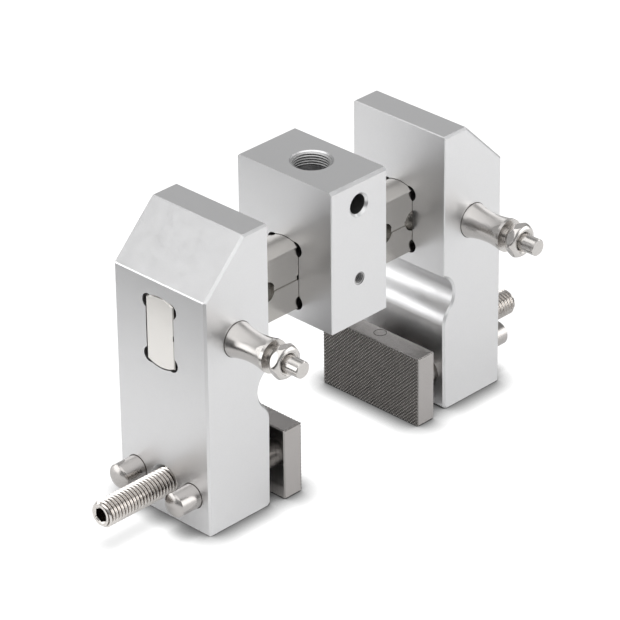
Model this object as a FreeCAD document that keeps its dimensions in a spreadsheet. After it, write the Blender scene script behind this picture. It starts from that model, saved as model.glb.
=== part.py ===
import FreeCAD, Part
import math
import os
import re
import Sketcher

# Driving sizes in millimetres. The origin is the mouth of the mounting thread, in the block's top face:
# X runs along the rail, the index plungers face -Y, and Z is up. Heights are counted from the arms' feet.

SIZES = {
    # Arms
    "arm_thick": 30.6,
    "arm_width": 45,
    "arm_height": 112,
    "top_chamfer": 19,
    "side_chamfer": 0.8,
    "edge_break": 0.3,
    "foot_setback": 0.5,
    "foot_chamfer": 1,
    "scoop_radius": 8.5,
    "scoop_height": 47.4,
    "scoop_standoff": 3.05,
    "scoop_blend": 8,
    # Rail and the slots that it runs in
    "rail_diameter": 28,
    "rail_flats": 13.5,
    "rail_height": 73.3,
    "rail_chamfer": 0.4,
    "line_width": 2,
    "line_depth": 0.4,
    "slot_clearance": 0.15,
    "relief_radius": 3,
    "relief_inset": 1.35,
    "relief_drop": 1.77,
    # Index holes, counted inwards from the one that each arm stands at
    "arm_offset": 60,
    "index_pitch": 15,
    "index_bore": 8,
    # Block
    "block_length": 28,
    "block_width": 46,
    "block_bottom": 56,
    "block_chamfer": 1.1,
    "thread_bore": 13.92,
    "thread_mouth": 1.04,
    "thread_depth": 22,
    "cross_bore": 7.5,
    "cross_mouth": 0.9,
    "cross_drop": 9.5,
    # Set screw that holds the rail in the block
    "lock_diameter": 5,
    "lock_sink": 6.25,
    "lock_key": 2.5,
    "lock_dimple": 1,
    # Index plungers
    "sleeve_base": 13.2,
    "sleeve_head": 12.5,
    "sleeve_waist": 10.8,
    "sleeve_reach": 17.6,
    "sleeve_rim": 0.6,
    "sleeve_lip": 1.2,
    "sleeve_stem": 12,
    "stem_setback": 0.7,
    "flat_width": 11.4,
    "flat_length": 4.6,
    "flat_setback": 1.3,
    "flat_turn": 35,
    "chamber_bore": 8.6,
    "chamber_wall": 5,
    "nose_land": 4.4,
    "nose_diameter": 7.8,
    "nose_taper": 1.2,
    "nose_gap": 0.3,
    "pin_clearance": 0.1,
    "collar_thick": 1.5,
    "collar_stop": 2.3,
    "rod_diameter": 6.3,
    "rod_reach": 31.4,
    "rod_chamfer": 0.3,
    "nut_gap": 2.3,
    "nut_hub": 10.4,
    "nut_ridge": 13.2,
    "nut_flats": 11.7,
    "nut_rise": 2.5,
    "nut_shoulder": 11.6,
    "nut_shoulder_rise": 4,
    "nut_crown": 9.2,
    "nut_height": 4.9,
    "spring_wire": 0.7,
    "spring_pitch": 3.1,
    # Jaws
    "jaw_thick": 8.5,
    "jaw_overhang": 1.5,
    "jaw_height": 28.1,
    "jaw_lift": 0.1,
    "jaw_break": 0.45,
    "left_jaw_gap": 4.95,
    "right_jaw_gap": 6.6,
    # Clamp screws
    "clamp_height": 13.5,
    "screw_diameter": 10,
    "screw_clearance": 0.08,
    "screw_reach": 66.6,
    "screw_chamfer": 0.9,
    "screw_key": 5,
    "key_depth": 5,
    "screw_mouth": 1.5,
    "tip_diameter": 8,
    "tip_reach": 6.7,
    "tip_clearance": 0.3,
    "neck_reach": 0.8,
    "groove_diameter": 5,
    # Pins that hold each screw's tip in its jaw
    "retainer_diameter": 4.5,
    "retainer_setback": 3.25,
    "retainer_clearance": 0.15,
    # Guide pins
    "guide_diameter": 9.3,
    "guide_margin": 8.5,
    "guide_length": 51.8,
    "guide_chamfer": 0.9,
    "guide_clearance": 0.1,
    "guide_mouth": 1.1,
    "left_guide_sink": 5.7,
    "right_guide_sink": 4.1,
}

SIDES = {"left": -1, "right": 1}

# How finely the springs' coils and wire are divided
STEPS_A_TURN = 12
WIRE_SIDES = 6

doc = FreeCAD.newDocument("tensile_test_grip")
sheet = doc.addObject("Spreadsheet::Sheet", "Sizes")
for row, (alias, size) in enumerate(SIZES.items(), 1):
    sheet.set(f"A{row}", alias)
    sheet.set(f"B{row}", str(size))
    sheet.setAlias(f"B{row}", alias)
doc.recompute()

# Places that several pieces share, worked out from the sizes

RAIL_CORNER = "sqrt(rail_diameter ^ 2 / 4 - rail_flats ^ 2 / 4)"
SLOT_RADIUS = "(rail_diameter / 2 + slot_clearance)"
SLOT_HALF = "(rail_flats / 2 + slot_clearance)"
STEM_END = f"(arm_width / 2 - {SLOT_HALF} - stem_setback)"
CHAMBER_END = "(sleeve_reach - chamber_wall)"
COLLAR_START = f"(nose_land + collar_stop - {STEM_END})"
NUT_START = "(sleeve_reach + nut_gap)"
GUIDES = {"front": "-(arm_width / 2 - guide_margin)", "rear": "(arm_width / 2 - guide_margin)"}


def formula(text):
    """Expression for a size formula: each size name points at the sheet."""
    return re.sub(r"\b[a-z]+(?:_[a-z]+)+\b", r"Sizes.\g<0>", text)


def value(text):
    """Number that a size formula gives now."""
    return float(sheet.evalExpression(formula(text)))


def bind(thing, name, text):
    thing.setExpression(name, formula(text))


def put(thing, place, axis=(0, 0, 1), angle=0):
    """Places a thing, its height counted from the feet, turned by an angle about an axis."""
    thing.Placement = FreeCAD.Placement(FreeCAD.Vector(), FreeCAD.Rotation(FreeCAD.Vector(*axis), angle))
    x, y, height = place
    for letter, text in zip("xyz", (x, y, f"{height} - arm_height")):
        bind(thing, f"Placement.Base.{letter}", text)


def new_body(name, place=("0", "0", "0"), axis=(0, 0, 1), angle=0):
    body = doc.addObject("PartDesign::Body", name)
    body.Label = name
    put(body, place, axis, angle)
    return body


def origin_part(body, role):
    return next(part for part in body.Origin.OriginFeatures if part.Role == role)


def new_sketch(body, name, plane, shift):
    """Sketch on one of the body's planes, shifted in the plane and along its normal."""
    sketch = body.newObject("Sketcher::SketchObject", name)
    sketch.AttachmentSupport = (origin_part(body, plane), [""])
    sketch.MapMode = "FlatFace"
    for letter, text in zip("xyz", shift):
        bind(sketch, f"AttachmentOffset.Base.{letter}", text)
    return sketch


def hold(sketch, item, point, place):
    """Fixes a point of the sketch at a pair of size formulas from its origin."""
    for kind, text in zip(("DistanceX", "DistanceY"), place):
        number = sketch.addConstraint(Sketcher.Constraint(kind, -1, 1, item, point, value(text)))
        bind(sketch, f"Constraints[{number}]", text)


def hold_radius(sketch, item, radius):
    number = sketch.addConstraint(Sketcher.Constraint("Radius", item, value(radius)))
    bind(sketch, f"Constraints[{number}]", radius)


def arc_middle(start, end, radius, toward):
    """Middle of the shorter arc between two points, on the side that toward points to."""
    chord = end - start
    normal = FreeCAD.Vector(-chord.y, chord.x, 0).normalize()
    if normal.dot(FreeCAD.Vector(*toward, 0)) < 0:
        normal = normal * -1
    rise = radius - math.sqrt(radius ** 2 - (chord.Length / 2) ** 2)
    return (start + end) * 0.5 + normal * rise


def end_at(sketch, side, spot):
    """Which end of a side lies at the spot."""
    return min((1, 2), key=lambda end: (sketch.getPoint(side, end) - spot).Length)


def outline(body, name, plane, corners, arcs=None, shift=("0", "0", "0")):
    """Closed outline through corners given as pairs of size formulas.

    arcs maps the number of a curved side to its radius and the way it bulges.
    """
    arcs = arcs or {}
    sketch = new_sketch(body, name, plane, shift)
    spots = [FreeCAD.Vector(value(x), value(y), 0) for x, y in corners]
    for side, start in enumerate(spots):
        end = spots[(side + 1) % len(spots)]
        if side in arcs:
            radius, toward = arcs[side]
            middle = arc_middle(start, end, value(radius), toward)
            sketch.addGeometry(Part.Arc(start, middle, end))
        else:
            sketch.addGeometry(Part.LineSegment(start, end))
    for side, spot in enumerate(spots):
        before = (side - 1) % len(spots)
        here = end_at(sketch, side, spot)
        there = end_at(sketch, before, spot)
        sketch.addConstraint(Sketcher.Constraint("Coincident", before, there, side, here))
        hold(sketch, side, here, corners[side])
    for side, (radius, toward) in arcs.items():
        hold_radius(sketch, side, radius)
    return sketch


def circles(body, name, plane, centres, radius, shift=("0", "0", "0")):
    """Sketch of equal circles."""
    sketch = new_sketch(body, name, plane, shift)
    for centre in centres:
        middle = FreeCAD.Vector(value(centre[0]), value(centre[1]), 0)
        item = sketch.addGeometry(Part.Circle(middle, FreeCAD.Vector(0, 0, 1), value(radius)))
        hold(sketch, item, 3, centre)
        hold_radius(sketch, item, radius)
    return sketch


def hexagon(body, name, flats, height):
    """Hexagon across the Z axis, whose width across its flats is a size formula."""
    corners = [(f"{flats} / sqrt(3) * cos({60 * corner} deg)", f"{flats} / sqrt(3) * sin({60 * corner} deg)")
               for corner in range(6)]
    return outline(body, name, "XY_Plane", corners, shift=("0", "0", height))


def pad(body, name, sketch, length, side="Symmetric", back=False):
    feature = body.newObject("PartDesign::Pad", name)
    feature.Profile = sketch
    feature.SideType = side
    feature.Reversed = back
    bind(feature, "Length", length)
    doc.recompute()
    return feature


def must_cut(body, name, volume):
    """Stops if the feature that was just added took nothing away."""
    doc.recompute()
    if body.Shape.Volume > volume - 1e-6:
        raise RuntimeError(f"{body.Label}: {name} cuts nothing")


def cut(body, name, sketch, depth=None, side="One side", back=False):
    """Pocket of one depth, or right through where none is given."""
    volume = body.Shape.Volume
    feature = body.newObject("PartDesign::Pocket", name)
    feature.Profile = sketch
    feature.SideType = side
    feature.Reversed = back
    if depth is None:
        feature.Type = "ThroughAll"
    else:
        bind(feature, "Length", depth)
    must_cut(body, name, volume)
    return feature


def turned(body, name, kind, axis, place, steps, arcs=None):
    """Revolved solid or revolved cut along an axis through place.

    steps are pairs: how far along the axis, and the radius there.
    """
    x, y, z = place
    shift = (y, z, x) if axis == "y" else (x, z, f"-({y})")
    plane = "YZ_Plane" if axis == "y" else "XZ_Plane"
    corners = [(far, along) for along, far in steps] if axis == "z" else steps
    sketch = outline(body, name + "_profile", plane, corners, arcs, shift)
    feature = body.newObject(kind, name)
    feature.Profile = sketch
    feature.ReferenceAxis = (sketch, ["V_Axis" if axis == "z" else "H_Axis"])
    feature.Angle = 360
    return feature


def revolve(body, name, steps, arcs=None):
    feature = turned(body, name, "PartDesign::Revolution", "z", ("0", "0", "0"), steps, arcs)
    doc.recompute()
    return feature


def lathe_cut(body, name, axis, place, steps):
    """Revolved cut along an axis through place."""
    volume = body.Shape.Volume
    feature = turned(body, name, "PartDesign::Groove", axis, place, steps)
    must_cut(body, name, volume)
    return feature


def bevel(body, name, size, chosen):
    """Chamfers the edges of the body so far that chosen picks."""
    base = body.Tip
    names = [f"Edge{number}" for number, edge in enumerate(base.Shape.Edges, 1) if chosen(edge)]
    feature = body.newObject("PartDesign::Chamfer", name)
    feature.Base = (base, names)
    bind(feature, "Size", size)
    must_cut(body, name, base.Shape.Volume)
    return feature


def spans(edge, axis):
    """Whether a straight edge runs along the axis."""
    box = edge.BoundBox
    lengths = {"x": box.XLength, "y": box.YLength, "z": box.ZLength}
    return edge.Length - lengths[axis] < 1e-6


def on_side(edge, axis, place):
    """Whether an edge lies in the plane at place across the axis."""
    box = edge.BoundBox
    low, high = {"x": (box.XMin, box.XMax), "y": (box.YMin, box.YMax), "z": (box.ZMin, box.ZMax)}[axis]
    return abs(low - place) < 1e-6 and abs(high - place) < 1e-6


def on_corner(edge, corners):
    """Whether an edge across an XZ outline lies at one of its corners."""
    return any(on_side(edge, "x", value(x)) and on_side(edge, "z", value(z)) for x, z in corners)


def rail_outline(body, name, half, radius):
    """Round bar with two flats, seen along X, about the rail's axis."""
    corner = f"sqrt({radius} ^ 2 - {half} ^ 2)"
    corners = [(f"-{half}", corner), (half, corner), (half, f"-{corner}"), (f"-{half}", f"-{corner}")]
    arcs = {0: (radius, (0, 1)), 2: (radius, (0, -1))}
    return outline(body, name, "YZ_Plane", corners, arcs, shift=("0", "rail_height", "0"))


def cut_rail_slot(body):
    """Slot of the rail's section, with a drilled relief at each of its corners."""
    cut(body, "rail_slot", rail_outline(body, "slot_outline", SLOT_HALF, SLOT_RADIUS), side="Symmetric")
    across = "(rail_flats / 2 - relief_inset)"
    up = f"({RAIL_CORNER} - relief_drop)"
    centres = [(f"{a} * {across}", f"{b} * {up}") for a in (-1, 1) for b in (-1, 1)]
    sketch = circles(body, "relief_circles", "YZ_Plane", centres, "relief_radius", ("0", "rail_height", "0"))
    cut(body, "slot_reliefs", sketch, side="Symmetric")


def make_mounting_block():
    body = new_body("mounting_block")
    half = "block_length / 2"
    corners = [
        (f"-{half}", "block_bottom"),
        (f"-{half}", "arm_height"),
        (half, "arm_height"),
        (half, "block_bottom"),
    ]
    pad(body, "block", outline(body, "block_outline", "XZ_Plane", corners), "block_width")
    top = value("arm_height")
    side = value("block_width") / 2
    bevel(body, "top_bevel", "block_chamfer", lambda edge: spans(edge, "x") and on_side(edge, "z", top))
    bevel(body, "upright_break", "edge_break",
          lambda edge: spans(edge, "z") and (on_side(edge, "y", side) or on_side(edge, "y", -side)))
    cut_rail_slot(body)
    lathe_cut(body, "top_thread", "z", ("0", "0", "arm_height"), [
        ("-thread_depth", "0"),
        ("-thread_depth", "thread_bore / 2"),
        ("-thread_mouth", "thread_bore / 2"),
        ("0", "thread_bore / 2 + thread_mouth"),
        ("0", "0"),
    ])
    lathe_cut(body, "cross_hole", "y", ("0", "0", "arm_height - cross_drop"), [
        ("-block_width / 2", "0"),
        ("-block_width / 2", "cross_bore / 2 + cross_mouth"),
        ("-block_width / 2 + cross_mouth", "cross_bore / 2"),
        ("block_width / 2 - cross_mouth", "cross_bore / 2"),
        ("block_width / 2", "cross_bore / 2 + cross_mouth"),
        ("block_width / 2", "0"),
    ])
    hole = "(lock_diameter / 2 + screw_clearance)"
    lathe_cut(body, "lock_thread", "y", ("0", "-block_width / 2", "rail_height"), [
        ("0", "0"),
        ("0", hole),
        (f"block_width / 2 - {SLOT_HALF}", hole),
        (f"block_width / 2 - {SLOT_HALF}", "0"),
    ])
    return body


def make_cross_rail():
    body = new_body("cross_rail")
    length = "2 * arm_offset + arm_thick"
    pad(body, "bar", rail_outline(body, "bar_outline", "(rail_flats / 2)", "(rail_diameter / 2)"), length)
    end = value(length) / 2
    bevel(body, "end_bevel", "rail_chamfer", lambda edge: on_side(edge, "x", end) or on_side(edge, "x", -end))
    for name, sign in (("front", -1), ("rear", 1)):
        floor = f"{sign} * (rail_flats / 2 - line_depth)"
        rim = f"{sign} * (rail_flats / 2 + line_depth)"
        spots = ((floor, -1), (floor, 1), (rim, 1), (rim, -1))
        corners = [(across, f"{way} * line_width / 2") for across, way in spots]
        sketch = outline(body, f"{name}_line_outline", "YZ_Plane", corners, shift=("0", "rail_height", "0"))
        cut(body, f"{name}_line", sketch, side="Symmetric")
    for name, sign in SIDES.items():
        hole = lathe_cut(body, f"{name}_index_hole", "y", (f"{sign} * arm_offset", "0", "rail_height"), [
            ("-rail_flats / 2", "0"),
            ("-rail_flats / 2", "index_bore / 2"),
            ("rail_flats / 2", "index_bore / 2"),
            ("rail_flats / 2", "0"),
        ])
        row = body.newObject("PartDesign::LinearPattern", f"{name}_index_row")
        row.Originals = [hole]
        row.Direction = (origin_part(body, "X_Axis"), [""])
        row.Reversed = sign > 0
        row.Mode = "Spacing"
        bind(row, "Offset", "index_pitch")
        bind(row, "Occurrences", "floor(arm_offset / index_pitch) - 1")
        body.Tip = row
        doc.recompute()
    lathe_cut(body, "lock_dimple_cut", "y", ("0", "-rail_flats / 2", "rail_height"), [
        ("0", "0"),
        ("0", "lock_dimple"),
        ("lock_dimple", "0"),
    ])
    return body


def make_rail_set_screw():
    """Cone point screw that pins the rail in the block."""
    body = new_body("rail_set_screw", ("0", "-rail_flats / 2", "rail_height"), axis=(1, 0, 0), angle=90)
    radius = "lock_diameter / 2"
    cone = f"({radius} - lock_dimple)"
    length = "(block_width / 2 - rail_flats / 2 - lock_sink)"
    revolve(body, "screw", [
        ("-lock_dimple", "0"),
        (cone, radius),
        (length, radius),
        (length, "0"),
    ])
    cut(body, "key_socket", hexagon(body, "key_outline", "lock_key", length), "lock_key")
    return body


def make_arm(name, sign):
    body = new_body(f"{name}_arm", (f"{sign} * arm_offset", "0", "0"))
    outer = f"{sign} * arm_thick / 2"
    inner = f"{-sign} * arm_thick / 2"
    foot = f"{-sign} * (arm_thick / 2 - foot_setback)"
    rise = "sqrt(scoop_radius ^ 2 - scoop_standoff ^ 2)"
    centres = "(scoop_radius + scoop_blend)"
    drop = f"sqrt({centres} ^ 2 - (scoop_standoff + scoop_blend) ^ 2)"
    share = f"scoop_radius / {centres}"
    depth = f"({share} * (scoop_standoff + scoop_blend) - scoop_standoff)"
    corners = [
        (outer, "0"),
        (outer, "arm_height - top_chamfer"),
        (f"{sign} * (arm_thick / 2 - top_chamfer)", "arm_height"),
        (inner, "arm_height"),
        (inner, f"scoop_height + {rise}"),
        (f"{-sign} * (arm_thick / 2 - {depth})", f"scoop_height - {share} * {drop}"),
        (inner, f"scoop_height - {drop}"),
        (foot, "0"),
    ]
    arcs = {4: ("scoop_radius", (sign, 0)), 5: ("scoop_blend", (-sign, 0))}
    pad(body, "arm", outline(body, "arm_outline", "XZ_Plane", corners, arcs), "arm_width")
    face = value("arm_width") / 2
    shoulder = value(inner)
    bevel(body, "foot_bevel", "foot_chamfer", lambda edge: on_corner(edge, [(foot, "0")]))
    bevel(body, "side_bevel", "side_chamfer", lambda edge: not on_side(edge, "z", 0)
          and not on_side(edge, "x", shoulder) and (on_side(edge, "y", face) or on_side(edge, "y", -face)))
    bevel(body, "corner_break", "edge_break", lambda edge: on_corner(edge, corners[:5])
          or spans(edge, "z") and on_side(edge, "x", shoulder)
          or spans(edge, "x") and on_side(edge, "z", 0))
    cut_rail_slot(body)
    lathe_cut(body, "plunger_seat", "y", ("0", "-arm_width / 2", "rail_height"), [
        ("0", "0"),
        ("0", "sleeve_stem / 2"),
        (f"arm_width / 2 - {SLOT_HALF}", "sleeve_stem / 2"),
        (f"arm_width / 2 - {SLOT_HALF}", "0"),
    ])
    through = f"{-sign} * arm_thick"
    thread = "(screw_diameter / 2 + screw_clearance)"
    lathe_cut(body, "clamp_thread", "x", (outer, "0", "clamp_height"), [
        ("0", "0"),
        ("0", f"{thread} + screw_mouth"),
        (f"{-sign} * screw_mouth", thread),
        (through, thread),
        (through, "0"),
    ])
    for place, across in GUIDES.items():
        guide = "(guide_diameter / 2 + guide_clearance)"
        lathe_cut(body, f"{place}_guide_bore", "x", (outer, across, "clamp_height"), [
            ("0", "0"),
            ("0", guide),
            (f"{through} + {sign} * guide_mouth", guide),
            (through, f"{guide} + guide_mouth"),
            (through, "0"),
        ])
    return body


def plunger_place(sign):
    """Place, axis and angle that point Z out of the arm's -Y face along the plunger."""
    return (f"{sign} * arm_offset", "-arm_width / 2", "rail_height"), (1, 0, 0), 90


def make_index_sleeve(name, sign):
    """Waisted sleeve with a stem in the arm, a spring chamber and two wrench flats."""
    body = new_body(f"{name}_index_sleeve", *plunger_place(sign))
    sag = "((sleeve_base + sleeve_head) / 4 - sleeve_waist / 2)"
    half = "((sleeve_reach - sleeve_lip - sleeve_rim) / 2)"
    nose = "nose_diameter / 2 + pin_clearance"
    rod = "rod_diameter / 2 + pin_clearance"
    steps = [
        (f"-{STEM_END}", nose),
        (f"-{STEM_END}", "sleeve_stem / 2"),
        ("0", "sleeve_stem / 2"),
        ("0", "sleeve_base / 2"),
        ("sleeve_rim", "sleeve_base / 2"),
        ("sleeve_reach - sleeve_lip", "sleeve_head / 2"),
        ("sleeve_reach", "sleeve_head / 2"),
        ("sleeve_reach", rod),
        (CHAMBER_END, rod),
        (CHAMBER_END, "chamber_bore / 2"),
        (f"nose_land - {STEM_END}", "chamber_bore / 2"),
        (f"nose_land - {STEM_END}", nose),
    ]
    revolve(body, "sleeve", steps, {4: (f"({half} ^ 2 + {sag} ^ 2) / (2 * {sag})", (-1, 0))})
    top = "sleeve_reach - flat_setback"
    for number, way in enumerate((-1, 1), 1):
        near = f"{way} * flat_width / 2"
        far = f"{way} * sleeve_base"
        square = [(near, "-sleeve_base"), (far, "-sleeve_base"), (far, "sleeve_base"), (near, "sleeve_base")]
        corners = [(f"{x} * cos(flat_turn * 1 deg) + {y} * sin(flat_turn * 1 deg)",
                    f"{y} * cos(flat_turn * 1 deg) - {x} * sin(flat_turn * 1 deg)") for x, y in square]
        sketch = outline(body, f"flat_{number}_outline", "XY_Plane", corners, shift=("0", "0", top))
        cut(body, f"wrench_flat_{number}", sketch, "flat_length")
    return body


def make_index_pin(name, sign):
    """Plunger with a tapered nose, a collar for the spring and a rod for the nut."""
    body = new_body(f"{name}_index_pin", *plunger_place(sign))
    tip = "(rail_flats / 2 + nose_gap - arm_width / 2)"
    collar = "chamber_bore / 2 - pin_clearance"
    revolve(body, "pin", [
        (tip, "0"),
        (tip, "nose_diameter / 2 - nose_taper / 2"),
        (f"{tip} + nose_taper", "nose_diameter / 2"),
        (COLLAR_START, "nose_diameter / 2"),
        (COLLAR_START, collar),
        (f"{COLLAR_START} + collar_thick", collar),
        (f"{COLLAR_START} + collar_thick", "rod_diameter / 2"),
        ("rod_reach - rod_chamfer", "rod_diameter / 2"),
        ("rod_reach", "rod_diameter / 2 - rod_chamfer"),
        ("rod_reach", "0"),
    ])
    return body


def make_index_spring(name, sign):
    """Coil spring between the pin's collar and the end of the chamber."""
    radius = value("spring_wire / 2")
    mean = value("(chamber_bore + rod_diameter) / 4")
    pitch = value("spring_pitch")
    start = value(f"{COLLAR_START} + collar_thick") + radius
    turns = (value(CHAMBER_END) - radius - start) / pitch
    steps = round(turns * STEPS_A_TURN)
    sections = []
    for step in range(steps + 1):
        turn = turns * step / steps
        corners = []
        for side in range(WIRE_SIDES + 1):
            around = 2 * math.pi * side / WIRE_SIDES
            height = start + pitch * turn + radius * math.sin(around)
            corners.append(FreeCAD.Vector(mean + radius * math.cos(around), 0, height))
        section = Part.makePolygon(corners)
        section.rotate(FreeCAD.Vector(), FreeCAD.Vector(0, 0, 1), 360 * turn)
        sections.append(section)
    spring = doc.addObject("Part::Feature", f"{name}_index_spring")
    spring.Shape = Part.makeLoft(sections, True, True)
    put(spring, *plunger_place(sign))
    return spring


def make_pull_nut(name, sign):
    """Hexagon nut with tapered ends that pulls the plunger."""
    body = new_body(f"{name}_pull_nut", *plunger_place(sign))
    crown = f"{NUT_START} + nut_height"
    pad(body, "nut", hexagon(body, "nut_outline", "nut_flats", NUT_START), "nut_height", side="One side")
    lathe_cut(body, "nut_tapers", "z", ("0", "0", "0"), [
        (NUT_START, "nut_hub / 2"),
        (f"{NUT_START} + nut_rise", "nut_ridge / 2"),
        (f"{NUT_START} + nut_shoulder_rise", "nut_shoulder / 2"),
        (crown, "nut_crown / 2"),
        (crown, "nut_ridge"),
        (NUT_START, "nut_ridge"),
    ])
    lathe_cut(body, "rod_hole", "z", ("0", "0", "0"), [
        (NUT_START, "0"),
        (NUT_START, "rod_diameter / 2"),
        (crown, "rod_diameter / 2"),
        (crown, "0"),
    ])
    return body


def jaw_place(name, sign):
    """How far the jaw's back face is from the middle, along X."""
    return f"{sign} * (arm_offset - arm_thick / 2 - {name}_jaw_gap)"


def clamp_body(label, name, sign, across):
    """Body whose Z points outwards along X from the jaw's back face, at the clamp's height."""
    place = (jaw_place(name, sign), across, "clamp_height")
    return new_body(f"{name}_{label}", place, axis=(0, 1, 0), angle=90 * sign)


def make_jaw_plate(name, sign):
    body = new_body(f"{name}_jaw_plate", (jaw_place(name, sign), "0", "0"))
    half = "(arm_width / 2 + jaw_overhang)"
    top = "jaw_lift + jaw_height"
    corners = [(f"-{half}", "jaw_lift"), (half, "jaw_lift"), (half, top), (f"-{half}", top)]
    sketch = outline(body, "plate_outline", "YZ_Plane", corners)
    pad(body, "plate", sketch, "jaw_thick", side="One side", back=sign > 0)
    bevel(body, "plate_break", "jaw_break", lambda edge: True)
    tip = "tip_reach + tip_clearance"
    seat = "tip_diameter / 2 + retainer_clearance"
    lathe_cut(body, "screw_pocket", "x", ("0", "0", "clamp_height"), [
        ("0", "0"),
        ("0", seat),
        (f"{-sign} * ({tip})", seat),
        (f"{-sign} * ({tip})", "0"),
    ])
    for place, across in GUIDES.items():
        sink = f"{-sign} * {name}_guide_sink"
        lathe_cut(body, f"{place}_guide_seat", "x", ("0", across, "clamp_height"), [
            ("0", "0"),
            ("0", "guide_diameter / 2"),
            (sink, "guide_diameter / 2"),
            (sink, "0"),
        ])
    lathe_cut(body, "retainer_hole", "z", (f"{-sign} * retainer_setback", "0", "clamp_height"), [
        ("0", "0"),
        ("0", "retainer_diameter / 2"),
        (f"{top} - clamp_height", "retainer_diameter / 2"),
        (f"{top} - clamp_height", "0"),
    ])
    return body


def make_guide_pin(name, sign, place, across):
    """Pin fixed in the jaw that slides in the arm."""
    body = clamp_body(f"guide_pin_{place}", name, sign, across)
    start = f"-{name}_guide_sink"
    end = f"guide_length - {name}_guide_sink"
    revolve(body, "pin", [
        (start, "0"),
        (start, "guide_diameter / 2"),
        (f"{end} - guide_chamfer", "guide_diameter / 2"),
        (end, "guide_diameter / 2 - guide_chamfer"),
        (end, "0"),
    ])
    return body


def make_clamp_screw(name, sign):
    """Screw with a grooved tip that turns in the jaw."""
    body = clamp_body("clamp_screw", name, sign, "0")
    radius = "screw_diameter / 2"
    tip = "tip_diameter / 2"
    root = "groove_diameter / 2"
    groove = "(retainer_diameter / 2 + retainer_clearance)"
    revolve(body, "screw", [
        ("-tip_reach", "0"),
        ("-tip_reach", tip),
        (f"-retainer_setback - {groove}", tip),
        (f"-retainer_setback - {groove}", root),
        (f"{groove} - retainer_setback", root),
        (f"{groove} - retainer_setback", tip),
        ("neck_reach", tip),
        (f"neck_reach + {radius} - {tip}", radius),
        ("screw_reach - screw_chamfer", radius),
        ("screw_reach", f"{radius} - screw_chamfer"),
        ("screw_reach", "0"),
    ])
    cut(body, "key_socket", hexagon(body, "key_outline", "screw_key", "screw_reach"), "key_depth")
    return body


def make_retaining_pin(name, sign):
    """Pin from the jaw's top whose end stands in the groove of the screw's tip."""
    x = f"{jaw_place(name, sign)} + {-sign} * retainer_setback"
    foot = "clamp_height + groove_diameter / 2 + retainer_clearance"
    body = new_body(f"{name}_retaining_pin", (x, "0", foot))
    radius = "retainer_diameter / 2"
    length = f"(jaw_lift + jaw_height - ({foot}))"
    revolve(body, "pin", [
        ("0", "0"),
        ("0", radius),
        (length, radius),
        (length, "0"),
    ])
    return body


pieces = [make_mounting_block(), make_cross_rail(), make_rail_set_screw()]
for name, sign in SIDES.items():
    pieces.append(make_arm(name, sign))
    pieces.append(make_index_sleeve(name, sign))
    pieces.append(make_index_pin(name, sign))
    pieces.append(make_index_spring(name, sign))
    pieces.append(make_pull_nut(name, sign))
    pieces.append(make_jaw_plate(name, sign))
    for place, across in GUIDES.items():
        pieces.append(make_guide_pin(name, sign, place, across))
    pieces.append(make_clamp_screw(name, sign))
    pieces.append(make_retaining_pin(name, sign))
doc.recompute()

for thing in doc.Objects:
    if "Invalid" in thing.State or "Error" in thing.State:
        raise RuntimeError(f"{thing.Label} failed: {thing.State}")
for piece in pieces:
    if piece.Shape.isNull() or not piece.Shape.isValid() or len(piece.Shape.Solids) != 1:
        raise RuntimeError(f"{piece.Label} is not one valid solid")

os.makedirs("parts", exist_ok=True)
for piece in pieces:
    piece.Shape.exportStep(f"parts/{piece.Label}.step")
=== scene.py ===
import bmesh
import bpy
from math import cos, pi, radians, sin, sqrt
from mathutils import Matrix, Vector


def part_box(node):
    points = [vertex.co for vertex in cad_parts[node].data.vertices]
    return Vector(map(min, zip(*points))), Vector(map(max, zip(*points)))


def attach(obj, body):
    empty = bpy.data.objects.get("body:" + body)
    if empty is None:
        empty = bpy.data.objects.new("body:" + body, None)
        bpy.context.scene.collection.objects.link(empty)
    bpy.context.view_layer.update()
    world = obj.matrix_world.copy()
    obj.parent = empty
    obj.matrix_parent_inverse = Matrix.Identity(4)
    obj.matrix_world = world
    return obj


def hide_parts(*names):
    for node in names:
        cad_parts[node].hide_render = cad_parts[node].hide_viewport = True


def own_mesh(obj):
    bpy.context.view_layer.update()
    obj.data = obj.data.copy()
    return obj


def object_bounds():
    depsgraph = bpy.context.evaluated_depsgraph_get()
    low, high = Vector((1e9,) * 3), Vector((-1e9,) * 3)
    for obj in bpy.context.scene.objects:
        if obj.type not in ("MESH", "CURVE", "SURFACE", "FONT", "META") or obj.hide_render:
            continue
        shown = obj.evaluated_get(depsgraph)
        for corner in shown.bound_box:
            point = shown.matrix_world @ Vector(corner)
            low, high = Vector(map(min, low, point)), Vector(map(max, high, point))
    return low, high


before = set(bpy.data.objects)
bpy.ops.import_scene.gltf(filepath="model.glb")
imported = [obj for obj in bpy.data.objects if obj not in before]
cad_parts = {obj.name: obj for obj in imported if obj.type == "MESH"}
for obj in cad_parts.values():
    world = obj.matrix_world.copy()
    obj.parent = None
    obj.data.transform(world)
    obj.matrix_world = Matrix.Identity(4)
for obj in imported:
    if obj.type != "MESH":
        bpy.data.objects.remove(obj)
cad_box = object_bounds()

# Sizes are in millimetres unless a comment says otherwise, and are turned into metres with MM
MM = 0.001
SIDES = {"left": -1, "right": 1}
X, Y, Z = Vector((1, 0, 0)), Vector((0, 1, 0)), Vector((0, 0, 1))
WHITE = (1, 1, 1, 1)

# Camera, at the photo's angle, in degrees. It looks past its aim, to the left and below, by the slide.
CAMERA_AZIMUTH = -45.404
CAMERA_ELEVATION = 29.09
CAMERA_ROLL = -0.68
CAMERA_DISTANCE = 1434.2
CAMERA_AIM = (0, 0, -56.135)
CAMERA_SLIDE = (1.127, 3.565)
CAMERA_LENS = 232.7
CAMERA_SENSOR = 36
CAMERA_REACH = 20000

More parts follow.
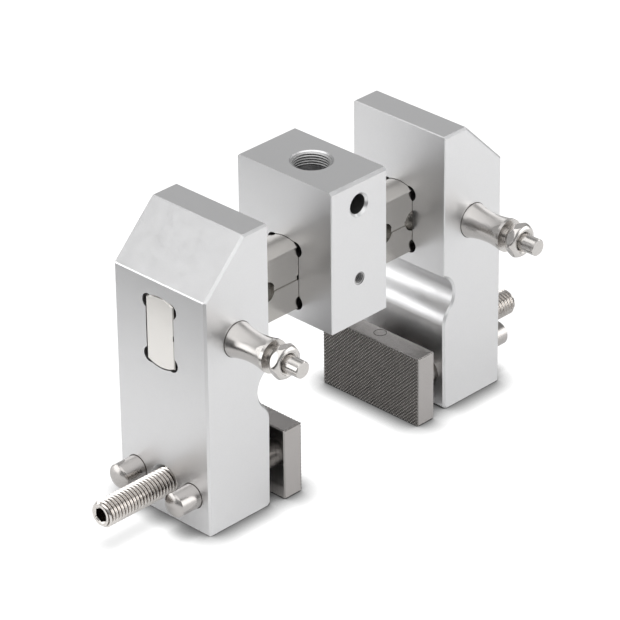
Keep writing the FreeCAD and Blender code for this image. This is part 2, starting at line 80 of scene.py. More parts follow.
# Grey surroundings: their strength below and above, and the heights between which it rises
WORLD_STRENGTH = (0.06, 0.32)
WORLD_RISE = (-0.1, 0.05)

# Soft lamps, the widest one nearly overhead: place and size in metres, and power in watts
LAMPS = {
    "above": ((-0.35, -0.15, 0.88), (2.0, 2.0), 16.5),
    "left": ((-0.72, 0.72, 0.1), (1.0, 0.64), 3.9),
    "right": ((0.72, -0.72, 0.22), (1.0, 0.66), 4.2),
    "rear": ((0.72, 0.72, 0.3), (1.0, 0.66), 0.6),
}

# Pale floor, with its left edge and its reach on the other sides in metres. The camera sees it as white, with a
# painted shadow close to what stands on it.
FLOOR_LEFT, FLOOR_REACH = -0.19, 3.0
FLOOR_COLOUR = (0.9, 0.9, 0.9)
FLOOR_ROUGHNESS = 0.6
FLOOR_SHINE = 0.2
FLOOR_WHITE = 1.15
SHADOW_REACH = 10
SHADOW_POWER = 2.5

# Metric threads: how far the crest and the root are from the axis, and the pitch
CLAMP_THREAD = (5.0, 4.1, 1.5)
MOUNT_THREAD = (6.94, 6.5, 1.0)
LOCK_THREAD = (2.5, 2.1, 0.8)

# One turn of a thread: places as shares of the pitch, and heights as shares of the thread's depth.
# The faces that follow the root rows are its groove, which has the second of the piece's two materials, a dark
# one that paints shade into it.
THREAD_PROFILE = ((0, 0), (0.12, 0), (0.2, 0.25), (0.44, 1), (0.56, 1), (0.8, 0.25), (0.88, 0))
ROOT_ROWS = (0, 1, 5, 6)
PLAIN_KIND, SHADE_KIND = 0, 1

# Steps round a turned piece
RING_STEPS = 60

# Walls of the block's threaded holes: radius of the hidden outer side, depths below the mouth, the mouth's
# chamfer, and how far the wall stops before the set screw
MOUNT_WALL = 7.75
MOUNT_START = 0.4
MOUNT_END = 5.6
MOUNT_CHAMFER = 1.1
LOCK_WALL = 2.7
LOCK_START = 0.02
LOCK_CLEARANCE = 0.05

# Cross hole's wall: it starts below the chamfer and stops before the mounting thread
CROSS_HEIGHT = -9.5
CROSS_RADIUS = 3.72
CROSS_WALL = 3.9
CROSS_CHAMFER = 1.0
CROSS_CLEARANCE = 1.0

# Clamp screws, along their axis from the end that stands in the jaw
TIP_RADIUS = 4.0
TIP_CHAMFER = 0.35
GROOVE_START = 1.05
GROOVE_END = 5.85
GROOVE_RADIUS = 2.5
NECK_END = 7.5
SCREW_CHAMFER = 0.9
SOCKET_FLATS = 5.0
SOCKET_MOUTH = 3.1
SOCKET_SINK = 0.35
SOCKET_DEPTH = 5.0
SOCKET_POINT = 1.0
SOCKET_TIP = 0.3

# Pull nuts, along their axis from the side towards the arm
NUT_FLATS = 11.7
NUT_HUB = 5.2
NUT_RIDGE = 6.6
NUT_RIDGE_PLACE = 2.5
NUT_CROWN = 4.6
NUT_LIP = 0.25
NUT_BORE = 3.35
NUT_SINK = 0.5
NUT_STEPS = 120
NUT_LEVELS = 44

# Guide pins' ends
PIN_CHAMFER = 0.5
PIN_DOME = 1.1
PIN_DOME_RINGS = 13

# Rings of painted shade on a surface round what goes through it: heights above the surface, and both edges from
# its radius
SHADE_RING_HEIGHTS = (0.01, 0.05)
SLEEVE_SHADE_RING = (-0.3, 0.2)
PIN_SHADE_RING = (0.02, 0.25)
RETAINING_SHADE_RING = (-0.02, 0.22)

# Jaw faces: ridges at 45 degrees with a narrow land, and shallower notches across them
TOOTH_PITCH = 1.0
TOOTH_LAND = 0.2
RIDGE_DEPTH = 0.42
NOTCH_DEPTH = 0.3
NOTCH_SLOPE = 1.0
TOOTH_MARGIN = 0.35
TOOTH_SKIRT = 0.3
TOOTH_MERGE = 0.01

# Meshes: points closer than this become one, shorter edges than this go, and edges that turn by more than this,
# in degrees, stay sharp
MERGE_DISTANCE = 0.002
SHORTEST_EDGE = 0.001
SHARP_ANGLE = 28

# Finishes: frequencies per millimetre of a blasted surface's grain and of its slow change, the range that noise
# keeps to, how far turning draws out highlights, and how deep the painted highlight of an end face goes
GRAIN_FREQUENCY = (2.2, 2.2, 2.2)
CLOUD_FREQUENCY = (0.25, 0.25, 0.25)
NOISE_RANGE = (0.3, 0.7)
TURNED_SHARE = 0.7
END_DEPTH = 0.05


def mesh_piece(name, body, materials, points, faces, kinds=None):
    """Piece of the visual model from points in metres, with the number of each face's material."""
    mesh = bpy.data.meshes.new(name)
    mesh.from_pydata(points, [], faces)
    if kinds:
        mesh.polygons.foreach_set("material_index", kinds)
    return finish_piece(name, body, materials, mesh)


def finish_piece(name, body, materials, mesh):
    """Piece of the visual model from its mesh, smooth but for its sharp edges."""
    work = bmesh.new()
    work.from_mesh(mesh)
    bmesh.ops.remove_doubles(work, verts=work.verts, dist=MERGE_DISTANCE * MM)
    bmesh.ops.dissolve_degenerate(work, edges=work.edges, dist=SHORTEST_EDGE * MM)
    bmesh.ops.recalc_face_normals(work, faces=work.faces)
    for face in work.faces:
        face.smooth = True
    for edge in work.edges:
        edge.smooth = len(edge.link_faces) == 2 and edge.calc_face_angle() < radians(SHARP_ANGLE)
    work.to_mesh(mesh)
    work.free()
    piece = bpy.data.objects.new(name, mesh)
    bpy.context.scene.collection.objects.link(piece)
    for material in materials:
        mesh.materials.append(material)
    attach(piece, body)
    return piece


def turned_points(rows, steps, place, along, across):
    """Points of rings about an axis through place.

    Each row is a function of the angle: how far along the axis and how far from it, in millimetres.
    """
    third = along.cross(across)
    points = []
    for row in rows:
        for step in range(steps):
            angle = 2 * pi * step / steps
            far, radius = row(angle)
            points.append(place + (along * far + (across * cos(angle) + third * sin(angle)) * radius) * MM)
    return points


def ring_faces(count, steps, wrapped=False, helix=None):
    """Faces between successive rings. The ends are filled, or the last ring joins the first.

    From the first to the last row of a helix, a ring goes on where the next turn starts.
    """
    def follows(row):
        if helix and helix[0] <= row <= helix[1]:
            return min(row + len(THREAD_PROFILE), helix[1]) * steps
        return row * steps

    faces = []
    for here in range(count if wrapped else count - 1):
        there = (here + 1) % count
        first, second = here * steps, there * steps
        for step in range(steps - 1):
            faces.append((first + step, first + step + 1, second + step + 1, second + step))
        faces.append((first + steps - 1, follows(here), follows(there), second + steps - 1))
    if not wrapped:
        faces.append(tuple(range(steps)))
        faces.append(tuple(range((count - 1) * steps, count * steps)))
    return faces


def thread_kinds(count, steps, first, last):
    """Material numbers of the faces between rings, with a thread from the first to the last row, whose groove
    is painted shade.
    """
    kinds = []
    for row in range(count):
        in_shaded_groove = first <= row < last and (row - first) % len(THREAD_PROFILE) in ROOT_ROWS
        kinds += [SHADE_KIND if in_shaded_groove else PLAIN_KIND] * steps
    return kinds


def ring(far, radius):
    """Round row."""
    return lambda angle: (far, radius)


def hexagon(far, flats):
    """Six-sided row, with its size across the flats."""
    return lambda angle: (far, flats / 2 / cos(angle % (pi / 3) - pi / 6))


def thread_rows(start, end, thread, start_radius, end_radius, shape=None):
    """Rows along a right-hand helix between two planes. The shape turns place and radius into a radius."""
    crest, root, pitch = thread
    rows = []
    for winding in range(-1, int((end - start) / pitch) + 2):
        for share, height in THREAD_PROFILE:
            def row(angle, base=start + (winding + share) * pitch, radius=root + (crest - root) * height):
                far = base + pitch * angle / (2 * pi)
                if far <= start:
                    return start, start_radius
                if far >= end:
                    return end, end_radius
                return far, shape(far, radius) if shape else radius
            rows.append(row)
    return rows


# Materials


def new_material(name, colour, roughness, metallic=1.0):
    """Material with a principled shader, and what is needed to add to it."""
    material = bpy.data.materials.new(name)
    material.use_nodes = True
    tree = material.node_tree
    shader = tree.nodes["Principled BSDF"]
    shader.inputs["Base Color"].default_value = (*colour, 1)
    shader.inputs["Metallic"].default_value = metallic
    shader.inputs["Roughness"].default_value = roughness
    return material, tree, shader


def maths(tree, operation, first, second):
    """Result of an operation on two numbers, each a number or a socket."""
    node = tree.nodes.new("ShaderNodeMath")
    node.operation = operation
    for number, value in enumerate((first, second)):
        if isinstance(value, (int, float)):
            node.inputs[number].default_value = value
        else:
            tree.links.new(value, node.inputs[number])
    return node.outputs["Value"]


def noise(tree, frequency, detail):
    """Noise over the object's own coordinates, with a frequency per millimetre along each axis."""
    place = tree.nodes.new("ShaderNodeTexCoord")
    mapping = tree.nodes.new("ShaderNodeMapping")
    mapping.inputs["Scale"].default_value = [part / MM for part in frequency]
    texture = tree.nodes.new("ShaderNodeTexNoise")
    texture.inputs["Scale"].default_value = 1.0
    texture.inputs["Detail"].default_value = detail
    tree.links.new(place.outputs["Object"], mapping.inputs["Vector"])
    tree.links.new(mapping.outputs["Vector"], texture.inputs["Vector"])
    return texture.outputs["Fac"]


def spread(tree, source, before, after):
    """Number moved from one range, whose ends it doesn't pass, into another."""
    convert = tree.nodes.new("ShaderNodeMapRange")
    for name, value in zip(("From Min", "From Max", "To Min", "To Max"), (*before, *after)):
        convert.inputs[name].default_value = value
    tree.links.new(source, convert.inputs["Value"])
    return convert.outputs["Result"]


def vary_roughness(tree, shader, source, roughness, vary):
    """Roughness that the noise moves up and down."""
    result = spread(tree, source, NOISE_RANGE, (roughness - vary, roughness + vary))
    tree.links.new(result, shader.inputs["Roughness"])


def shade(tree, shader, source, colour, darkest):
    """Base colour that the noise darkens down to a share of it."""
    mix = tree.nodes.new("ShaderNodeMix")
    mix.data_type = "RGBA"
    mix.inputs["A"].default_value = (*[part * darkest for part in colour], 1)
    mix.inputs["B"].default_value = (*colour, 1)
    tree.links.new(source, mix.inputs["Factor"])
    tree.links.new(mix.outputs["Result"], shader.inputs["Base Color"])


def bump(tree, shader, source, depth):
    """Relief in the shading, with a depth in millimetres."""
    relief = tree.nodes.new("ShaderNodeBump")
    relief.inputs["Distance"].default_value = depth * MM
    tree.links.new(source, relief.inputs["Height"])
    tree.links.new(relief.outputs["Normal"], shader.inputs["Normal"])


def turn(tree, shader, axis):
    """Highlights drawn out the way that they are on turned metal."""
    tangent = tree.nodes.new("ShaderNodeTangent")
    tangent.direction_type = "RADIAL"
    tangent.axis = axis
    shader.inputs["Anisotropic"].default_value = TURNED_SHARE
    tree.links.new(tangent.outputs["Tangent"], shader.inputs["Tangent"])


def paint_light_on_ends(tree, shader, axis, beyond, colour):
    """Painted highlight: a lighter base colour on both end faces, which are further out along an axis than the
    rest.
    """
    base = shader.inputs["Base Color"].links[0].from_socket
    place = tree.nodes.new("ShaderNodeTexCoord")
    parts = tree.nodes.new("ShaderNodeSeparateXYZ")
    mix = tree.nodes.new("ShaderNodeMix")
    mix.data_type = "RGBA"
    mix.inputs["B"].default_value = (*colour, 1)
    tree.links.new(place.outputs["Object"], parts.inputs[0])
    distance = maths(tree, "ABSOLUTE", parts.outputs[axis], 0)
    is_end = maths(tree, "GREATER_THAN", distance, beyond - END_DEPTH * MM)
    tree.links.new(is_end, mix.inputs["Factor"])
    tree.links.new(base, mix.inputs["A"])
    tree.links.new(mix.outputs["Result"], shader.inputs["Base Color"])


def blasted(name, colour, roughness, darkest=0.94, depth=0.012, vary=0.03):
    """Bead-blasted and anodised: even, with a fine grain."""
    material, tree, shader = new_material(name, colour, roughness)
    grain = noise(tree, GRAIN_FREQUENCY, detail=3.0)
    cloud = noise(tree, CLOUD_FREQUENCY, detail=4.0)
    shade(tree, shader, grain, colour, darkest)
    vary_roughness(tree, shader, cloud, roughness, vary)
    bump(tree, shader, grain, depth)
    return material


def streaked(name, colour, roughness, frequency, darkest=0.9, depth=0.004, vary=0.05, axis=None, ends=None):
    """Ground or turned steel, whose fine lines run the way that the frequency is low."""
    material, tree, shader = new_material(name, colour, roughness)
    lines = noise(tree, frequency, detail=4.0)
    shade(tree, shader, spread(tree, lines, NOISE_RANGE, (0, 1)), colour, darkest)
    vary_roughness(tree, shader, lines, roughness, vary)
    bump(tree, shader, lines, depth)
    if axis:
        turn(tree, shader, axis)
    if ends:
        paint_light_on_ends(tree, shader, *ends)
    return material


ALUMINIUM = blasted("blasted_aluminium", (0.73, 0.73, 0.735), 0.38)
BLOCK_ALUMINIUM = blasted("fine_blasted_aluminium", (0.73, 0.73, 0.735), 0.34)
# Painted shade: darker aluminium inside the block's holes, and darker still in their thread grooves and the
# cross hole's wall
BORE_SHADE_ALUMINIUM = blasted("painted_shade_bore_aluminium", (0.5, 0.5, 0.5), 0.5)
DEEP_SHADE_ALUMINIUM = blasted("deep_painted_shade_aluminium", (0.2, 0.2, 0.2), 0.5)
# Painted highlight: the rail's end faces are painted lighter than its sides
RAIL_STEEL = streaked("ground_rail_steel", (0.44, 0.425, 0.405), 0.2, (0.02, 5, 5), darkest=0.94, depth=0.001,
                      vary=0.03, ends=("X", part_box("cross_rail")[1].x, (0.8, 0.78, 0.75)))
# Painted highlight: the jaws' end faces are painted lighter than their sides
JAW_STEEL = streaked("ground_jaw_steel", (0.37, 0.355, 0.345), 0.18, (1.6, 1.6, 0.03), darkest=0.8,
                     ends=("Y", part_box("left_jaw_plate")[1].y, (0.46, 0.44, 0.43)))
TOOTH_STEEL = streaked("serrated_steel", (0.3, 0.285, 0.275), 0.38, (1.2, 1.2, 1.2), darkest=0.75)
# Painted shade for the notches of the teeth, and a painted highlight for their lands
NOTCH_SHADE_STEEL = streaked("serration_notch_painted_shade", (0.09, 0.085, 0.08), 0.4, (1.2, 1.2, 1.2), darkest=0.75)
LAND_HIGHLIGHT_STEEL = streaked("serration_land_painted_highlight", (0.74, 0.71, 0.69), 0.3, (1.2, 1.2, 1.2), darkest=0.7)
PIN_STEEL = streaked("turned_pin_steel", (0.5, 0.48, 0.465), 0.22, (4, 0.1, 0.1), darkest=0.95, depth=0.0003,
                     vary=0.02, axis="X")
PLUNGER_STEEL = streaked("turned_plunger_steel", (0.62, 0.6, 0.58), 0.24, (0.1, 4, 0.1), darkest=0.96,
                         depth=0.0003, vary=0.02)
SCREW_STEEL = streaked("rolled_screw_steel", (0.74, 0.71, 0.68), 0.22, (2, 0.3, 0.3), depth=0.0005)
# Painted shade: a near-black colour for thread grooves and screw sockets
ROOT_SHADE_STEEL = streaked("thread_root_painted_shade", (0.14, 0.115, 0.1), 0.3, (2, 0.3, 0.3), depth=0.0005)
# Painted shade for the thin rings round the sleeve and the pins
PAINTED_SHADE = new_material("painted_shade_ring", (0.1, 0.09, 0.085), 0.6)[0]
SPRING_STEEL = streaked("spring_steel", (0.45, 0.45, 0.46), 0.3, (1, 1, 1))

FINISHES = {
    "mounting_block": BLOCK_ALUMINIUM,
    "arm": ALUMINIUM,
    "cross_rail": RAIL_STEEL,
    "rail_set_screw": SCREW_STEEL,
    "index_sleeve": PLUNGER_STEEL,
    "index_pin": PLUNGER_STEEL,
    "pull_nut": PLUNGER_STEEL,
    "index_spring": SPRING_STEEL,
    "jaw_plate": JAW_STEEL,
    "guide_pin_front": PIN_STEEL,
    "guide_pin_rear": PIN_STEEL,
    "retaining_pin": JAW_STEEL,
    "clamp_screw": SCREW_STEEL,
}
for name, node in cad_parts.items():
    finish = FINISHES[name.removeprefix("left_").removeprefix("right_")]
    for material_slot in node.material_slots:
        material_slot.material = finish


# Pieces of the visual model


def make_clamp_screw(side, sign):
    """Clamp screw with its rolled thread and its socket. The grooves and the socket are painted dark as shade.
    """
    node = f"{side}_clamp_screw"
    low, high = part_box(node)
    inner = min(low.x, high.x, key=abs)
    length = (high.x - low.x) / MM
    end_radius = CLAMP_THREAD[0] - SCREW_CHAMFER

    def chamfered(far, radius):
        return min(radius, TIP_RADIUS + far - NECK_END, end_radius + length - far)

    tip = [
        ring(0, TIP_RADIUS - TIP_CHAMFER),
        ring(TIP_CHAMFER, TIP_RADIUS),
        ring(GROOVE_START, TIP_RADIUS),
        ring(GROOVE_START, GROOVE_RADIUS),
        ring(GROOVE_END, GROOVE_RADIUS),
        ring(GROOVE_END, TIP_RADIUS),
    ]
    thread = thread_rows(NECK_END, length, CLAMP_THREAD, TIP_RADIUS, end_radius, chamfered)
    socket = [
        ring(length, SOCKET_MOUTH),
        hexagon(length - SOCKET_SINK, SOCKET_FLATS),
        hexagon(length - SOCKET_DEPTH, SOCKET_FLATS),
        ring(length - SOCKET_DEPTH - SOCKET_POINT, SOCKET_TIP),
    ]
    rows = tip + thread + socket
    helix = len(tip), len(rows) - len(socket) - 1
    kinds = thread_kinds(len(rows) - 1, RING_STEPS, *helix)
    # The socket's inside also has the painted shade
    in_socket = 2 * RING_STEPS
    kinds[-in_socket:] = [SHADE_KIND] * in_socket
    tip_kind, socket_kind = PLAIN_KIND, SHADE_KIND
    kinds += [tip_kind, socket_kind]
    points = turned_points(rows, RING_STEPS, Vector((inner, 0, (low.z + high.z) / 2)), X * sign, Z)
    screw = mesh_piece(f"{side}_threaded_screw", f"{side}_screw", [SCREW_STEEL, ROOT_SHADE_STEEL],
                       points, ring_faces(len(rows), RING_STEPS, helix=helix), kinds)
    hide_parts(node)


def make_pull_nut(side):
    """Domed nut: the shape that a hexagon and a turned outline have in common."""
    node = f"{side}_pull_nut"
    low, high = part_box(node)
    height = (high.y - low.y) / MM
    drop = NUT_RIDGE - NUT_CROWN
    rise = height - NUT_RIDGE_PLACE
    dome = (rise ** 2 + drop ** 2) / (2 * drop)

    def row(far):
        if far < NUT_RIDGE_PLACE:
            widest = NUT_HUB + (NUT_RIDGE - NUT_HUB) * far / NUT_RIDGE_PLACE
        else:
            widest = NUT_RIDGE - dome + sqrt(dome ** 2 - (far - NUT_RIDGE_PLACE) ** 2)
        six_sided = hexagon(far, NUT_FLATS)
        return lambda angle: (far, min(widest, six_sided(angle)[1]))

    rows = [
        ring(0, NUT_BORE),
        *(row(height * level / NUT_LEVELS) for level in range(NUT_LEVELS + 1)),
        ring(height, NUT_CROWN - NUT_LIP),
        ring(height - NUT_LIP, NUT_CROWN - 2 * NUT_LIP),
        ring(height - NUT_LIP, NUT_BORE + NUT_SINK),
        ring(height - NUT_LIP - NUT_SINK, NUT_BORE),
    ]
    place = Vector(((low.x + high.x) / 2, high.y, (low.z + high.z) / 2))
    points = turned_points(rows, NUT_STEPS, place, -Y, X)
    nut = mesh_piece(f"{side}_domed_nut", f"{side}_plunger", [PLUNGER_STEEL],
                     points, ring_faces(len(rows), NUT_STEPS, wrapped=True))
    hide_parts(node)


def make_jaw_teeth(side, sign):
    """Sheet of ridges with notches over the jaw's front, closed down to just under the plate's face. Its lands
    have a painted highlight and its notches painted shade.
    """
    low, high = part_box(f"{side}_jaw_plate")
    face = min(low.x, high.x, key=abs)
    middle = Vector((face, (low.y + high.y) / 2, (low.z + high.z) / 2))
    across, along, out = (Y + Z).normalized(), (Z - Y).normalized(), -X * sign

    # One tooth's corners, across and along the ridge and down from its land, and its sides with their
    # materials: the land has a painted highlight and the notches painted shade
    half, land = TOOTH_PITCH / 2, TOOTH_LAND / 2
    notch_land = land + NOTCH_DEPTH / RIDGE_DEPTH * (TOOTH_PITCH - TOOTH_LAND) / 2
    notch = half - NOTCH_DEPTH * NOTCH_SLOPE
    cell = [
        (-land, -notch, 0), (land, -notch, 0), (land, notch, 0), (-land, notch, 0),
        (-notch_land, -half, NOTCH_DEPTH), (notch_land, -half, NOTCH_DEPTH),
        (notch_land, half, NOTCH_DEPTH), (-notch_land, half, NOTCH_DEPTH),
        (-half, -half, RIDGE_DEPTH), (half, -half, RIDGE_DEPTH),
        (half, half, RIDGE_DEPTH), (-half, half, RIDGE_DEPTH),
    ]
    on_flank, on_land, in_notch = 0, 1, 2
    sides = (
        ((0, 1, 2, 3), on_land),
        ((0, 4, 5, 1), in_notch),
        ((3, 2, 6, 7), in_notch),
        ((1, 5, 9, 10, 6, 2), on_flank),
        ((4, 0, 3, 7, 11, 8), on_flank),
    )
    work = bmesh.new()
    pitch = TOOTH_PITCH * MM
    reach = int((high - low).length / pitch)
    for i in range(-reach, reach + 1):
        for j in range(-reach, reach + 1):
            centre = middle + (across * i + along * j) * pitch
            if not (low.y < centre.y + pitch and centre.y - pitch < high.y
                    and low.z < centre.z + pitch and centre.z - pitch < high.z):
                continue
            corners = [work.verts.new(centre + (across * a + along * b + out * (RIDGE_DEPTH - depth)) * MM)
                       for a, b, depth in cell]
            for numbers, kind in sides:
                work.faces.new([corners[number] for number in numbers]).material_index = kind
    bmesh.ops.remove_doubles(work, verts=work.verts, dist=TOOTH_MERGE * MM)

    for normal, border in ((Y, high.y), (-Y, -low.y), (Z, high.z), (-Z, -low.z)):
        bmesh.ops.bisect_plane(work, geom=work.verts[:] + work.edges[:] + work.faces[:],
                               dist=SHORTEST_EDGE * MM, plane_co=normal * (border - TOOTH_MARGIN * MM),
                               plane_no=normal, clear_outer=True)
    rim = [edge for edge in work.edges if edge.is_boundary]
    back = face + sign * TOOTH_SKIRT * MM
    for part in bmesh.ops.extrude_edge_only(work, edges=rim)["geom"]:
        if isinstance(part, bmesh.types.BMVert):
            part.co.x = back
    mesh = bpy.data.meshes.new(f"{side}_jaw_teeth")
    work.to_mesh(mesh)
    work.free()
    finish_piece(f"{side}_jaw_teeth", f"{side}_jaw", [TOOTH_STEEL, LAND_HIGHLIGHT_STEEL, NOTCH_SHADE_STEEL], mesh)


def make_thread_liner(name, thread, wall, place, along, start, end, shape=None):
    """Ring with a thread inside, painted darker as shade and darker still in its grooves, whose outer wall is
    hidden in the block.
    """
    crest, root, pitch = thread
    mouth = shape(start, crest) if shape else crest
    inside = thread_rows(start, end, (root, crest, pitch), mouth, crest, shape)
    rows = [ring(end, wall), ring(start, wall), *inside]
    helix = len(rows) - len(inside), len(rows) - 1
    points = turned_points(rows, RING_STEPS, place, along, X)
    mesh_piece(name, "bridge", [BORE_SHADE_ALUMINIUM, DEEP_SHADE_ALUMINIUM], points,
               ring_faces(len(rows), RING_STEPS, wrapped=True, helix=helix),
               thread_kinds(len(rows), RING_STEPS, *helix))


def make_lock_thread():
    """Thread of the set screw's hole, from the block's front to the screw."""
    low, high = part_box("rail_set_screw")
    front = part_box("mounting_block")[0].y
    make_thread_liner("lock_thread_liner", LOCK_THREAD, LOCK_WALL, Vector((0, front, (low.z + high.z) / 2)), Y,
                      LOCK_START, (low.y - front) / MM - LOCK_CLEARANCE)


def make_mount_thread():
    """Thread of the hole in the block's top, as far down as the cross hole."""
    make_thread_liner("mount_thread_liner", MOUNT_THREAD, MOUNT_WALL, Vector((0, 0, 0)), -Z,
                      MOUNT_START, MOUNT_END, lambda far, radius: radius + max(0, MOUNT_CHAMFER - far))


def make_bore_liner():
    """Wall of the cross hole in front of the threaded hole, painted dark as shade, whose outer side is hidden
    in the block.
    """
    low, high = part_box("mounting_block")
    start, end = CROSS_CHAMFER, (high.y - low.y) / 2 / MM - MOUNT_THREAD[0] - CROSS_CLEARANCE
    rows = [ring(start, CROSS_WALL), ring(start, CROSS_RADIUS), ring(end, CROSS_RADIUS), ring(end, CROSS_WALL)]
    points = turned_points(rows, RING_STEPS, Vector((0, low.y, CROSS_HEIGHT * MM)), Y, X)
    mesh_piece("cross_hole_liner", "bridge", [DEEP_SHADE_ALUMINIUM], points,
               ring_faces(len(rows), RING_STEPS, wrapped=True))


def make_guide_pin(side, sign, which):
    """Guide pin with a slightly domed outer end."""
    node = f"{side}_guide_pin_{which}"
    low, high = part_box(node)
    inner = min(low.x, high.x, key=abs)
    length, radius = (high.x - low.x) / MM, (high.z - low.z) / 2 / MM
    rim = radius - PIN_CHAMFER
    dome = (PIN_DOME ** 2 + rim ** 2) / (2 * PIN_DOME)
    rows = [ring(0, rim), ring(PIN_CHAMFER, radius), ring(length - PIN_DOME - PIN_CHAMFER, radius)]
    # The dome's last ring is half a step from the axis, and is filled
    for number in range(PIN_DOME_RINGS):
        reach = rim * (1 - number / (PIN_DOME_RINGS - 0.5))
        rows.append(ring(length - dome + sqrt(dome ** 2 - reach ** 2), reach))
    place = Vector((inner, (low.y + high.y) / 2, (low.z + high.z) / 2))
    points = turned_points(rows, RING_STEPS, place, X * sign, Z)
    pin = mesh_piece(f"{side}_domed_pin_{which}", f"{side}_jaw", [PIN_STEEL],
                     points, ring_faces(len(rows), RING_STEPS))
    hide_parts(node)


def make_shade_ring(name, body, place, along, across, radius, edges):
    """Thin ring of painted shade on a surface, where a round piece of a given radius goes through it."""
    bottom, top = SHADE_RING_HEIGHTS
    inner, outer = (radius + edge for edge in edges)
    rows = [ring(bottom, inner), ring(top, inner), ring(top, outer), ring(bottom, outer)]
    points = turned_points(rows, RING_STEPS, place, along, across)
    mesh_piece(name, body, [PAINTED_SHADE], points, ring_faces(len(rows), RING_STEPS, wrapped=True))


def make_shade_rings(side, sign):
    """Painted shade: dark lines round the plunger's sleeve, the guide pins and the retaining pin."""
    arm_low, arm_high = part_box(f"{side}_arm")
    outer_face = max(arm_low.x, arm_high.x, key=abs)
    low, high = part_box(f"{side}_index_sleeve")
    place = Vector(((low.x + high.x) / 2, arm_low.y, (low.z + high.z) / 2))
    make_shade_ring(f"{side}_sleeve_shade_ring", f"{side}_side", place, -Y, X,
                  (high.x - low.x) / 2 / MM, SLEEVE_SHADE_RING)
    for which in ("front", "rear"):
        low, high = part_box(f"{side}_guide_pin_{which}")
        place = Vector((outer_face, (low.y + high.y) / 2, (low.z + high.z) / 2))
        make_shade_ring(f"{side}_pin_shade_ring_{which}", f"{side}_side", place, X * sign, Z,
                      (high.z - low.z) / 2 / MM, PIN_SHADE_RING)
    low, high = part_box(f"{side}_retaining_pin")
    place = Vector(((low.x + high.x) / 2, (low.y + high.y) / 2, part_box(f"{side}_jaw_plate")[1].z))
    make_shade_ring(f"{side}_retaining_shade_ring", f"{side}_jaw", place, Z, X,
                  (high.x - low.x) / 2 / MM, RETAINING_SHADE_RING)


def make_spring(side):
    """Index spring, a copy of the model's spring on a mesh of its own."""
    node = f"{side}_index_spring"
    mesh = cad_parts[node].data.copy()
    mesh.transform(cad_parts[node].matrix_world)
    mesh.materials.clear()
    spring = finish_piece(f"{side}_coil_spring", f"{side}_side", [SPRING_STEEL], mesh)
    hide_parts(node)
    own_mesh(spring)


for side, sign in SIDES.items():
    make_clamp_screw(side, sign)
    make_spring(side)
    make_pull_nut(side)
    make_jaw_teeth(side, sign)
    make_guide_pin(side, sign, "front")
    make_guide_pin(side, sign, "rear")
    make_shade_rings(side, sign)
make_lock_thread()
make_mount_thread()
make_bore_liner()


# Floor, light and camera


def show_to_camera(tree, lit, seen, output):
    """Lets the camera see one shader, while light meets the other."""
    path = tree.nodes.new("ShaderNodeLightPath")
    mix = tree.nodes.new("ShaderNodeMixShader")
    tree.links.new(path.outputs["Is Camera Ray"], mix.inputs["Fac"])
    tree.links.new(lit, mix.inputs[1])
    tree.links.new(seen, mix.inputs[2])
    tree.links.new(mix.outputs["Shader"], tree.nodes[output].inputs["Surface"])


def make_floor():
    """Pale floor, which the camera sees as white but for a painted shadow where things stand on it."""
    mesh = bpy.data.meshes.new("floor")
    level = cad_box[0].z
    corners = [(x, y, level) for x, y in ((FLOOR_LEFT, -FLOOR_REACH), (FLOOR_REACH, -FLOOR_REACH),
                                          (FLOOR_REACH, FLOOR_REACH), (FLOOR_LEFT, FLOOR_REACH))]
    mesh.from_pydata(corners, [], [(0, 1, 2, 3)])
    floor = bpy.data.objects.new("floor", mesh)
    bpy.context.scene.collection.objects.link(floor)
    material, tree, shader = new_material("pale_floor", FLOOR_COLOUR, FLOOR_ROUGHNESS, metallic=0.0)
    shader.inputs["Specular IOR Level"].default_value = FLOOR_SHINE
    # Painted shadow: the white that the camera sees fades close to what stands on the floor
    near = tree.nodes.new("ShaderNodeAmbientOcclusion")
    near.inputs["Distance"].default_value = SHADOW_REACH * MM
    openness = maths(tree, "POWER", near.outputs["AO"], SHADOW_POWER)
    white = tree.nodes.new("ShaderNodeEmission")
    tree.links.new(maths(tree, "MULTIPLY", openness, FLOOR_WHITE), white.inputs["Strength"])
    show_to_camera(tree, shader.outputs["BSDF"], white.outputs["Emission"], "Material Output")
    mesh.materials.append(material)


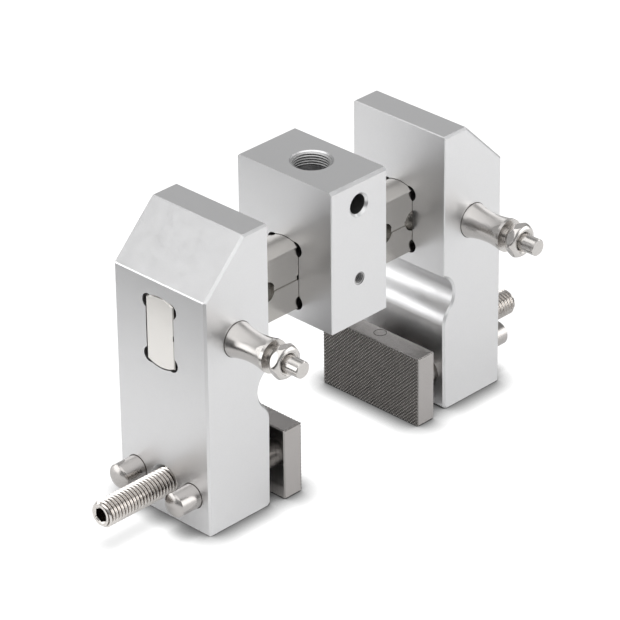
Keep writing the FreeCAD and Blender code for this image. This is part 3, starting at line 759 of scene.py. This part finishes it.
def make_world():
    """Soft surroundings, lighter above the horizon, and white to the camera."""
    world = bpy.data.worlds.new("studio")
    bpy.context.scene.world = world
    world.use_nodes = True
    tree = world.node_tree
    surroundings = tree.nodes["Background"]
    surroundings.inputs["Color"].default_value = WHITE
    place = tree.nodes.new("ShaderNodeTexCoord")
    parts = tree.nodes.new("ShaderNodeSeparateXYZ")
    tree.links.new(place.outputs["Generated"], parts.inputs[0])
    strength = spread(tree, parts.outputs["Z"], WORLD_RISE, WORLD_STRENGTH)
    tree.links.new(strength, surroundings.inputs["Strength"])
    white = tree.nodes.new("ShaderNodeBackground")
    white.inputs["Color"].default_value = WHITE
    show_to_camera(tree, surroundings.outputs["Background"], white.outputs["Background"], "World Output")


def make_lamp(name, place, size, power):
    """Lamp that looks at the middle of the grip."""
    light = bpy.data.lights.new(name, "AREA")
    light.shape = "RECTANGLE"
    light.size, light.size_y = size
    light.energy = power
    lamp = bpy.data.objects.new(name, light)
    bpy.context.scene.collection.objects.link(lamp)
    lamp.location = place
    lamp.rotation_euler = (Vector(CAMERA_AIM) * MM - Vector(place)).to_track_quat("-Z", "Y").to_euler()


def make_camera():
    """Camera at the photo's angle."""
    azimuth, elevation, roll = radians(CAMERA_AZIMUTH), radians(CAMERA_ELEVATION), radians(CAMERA_ROLL)
    back = Vector((sin(azimuth) * cos(elevation), -cos(azimuth) * cos(elevation), sin(elevation)))
    right = Vector((cos(azimuth), sin(azimuth), 0))
    up = back.cross(right)
    right, up = right * cos(roll) + up * sin(roll), up * cos(roll) - right * sin(roll)
    data = bpy.data.cameras.new("camera")
    data.lens = CAMERA_LENS
    data.sensor_width = CAMERA_SENSOR
    data.clip_end = CAMERA_REACH * MM
    camera = bpy.data.objects.new("camera", data)
    bpy.context.scene.collection.objects.link(camera)
    place = Vector(CAMERA_AIM) - right * CAMERA_SLIDE[0] - up * CAMERA_SLIDE[1] + back * CAMERA_DISTANCE
    axes = Matrix((right, up, back)).transposed().to_4x4()
    camera.matrix_world = Matrix.Translation(place * MM) @ axes
    bpy.context.scene.camera = camera


make_floor()
make_world()
make_camera()
for name, choice in LAMPS.items():
    make_lamp(name, *choice)
bpy.context.scene.view_settings.view_transform = "Standard"
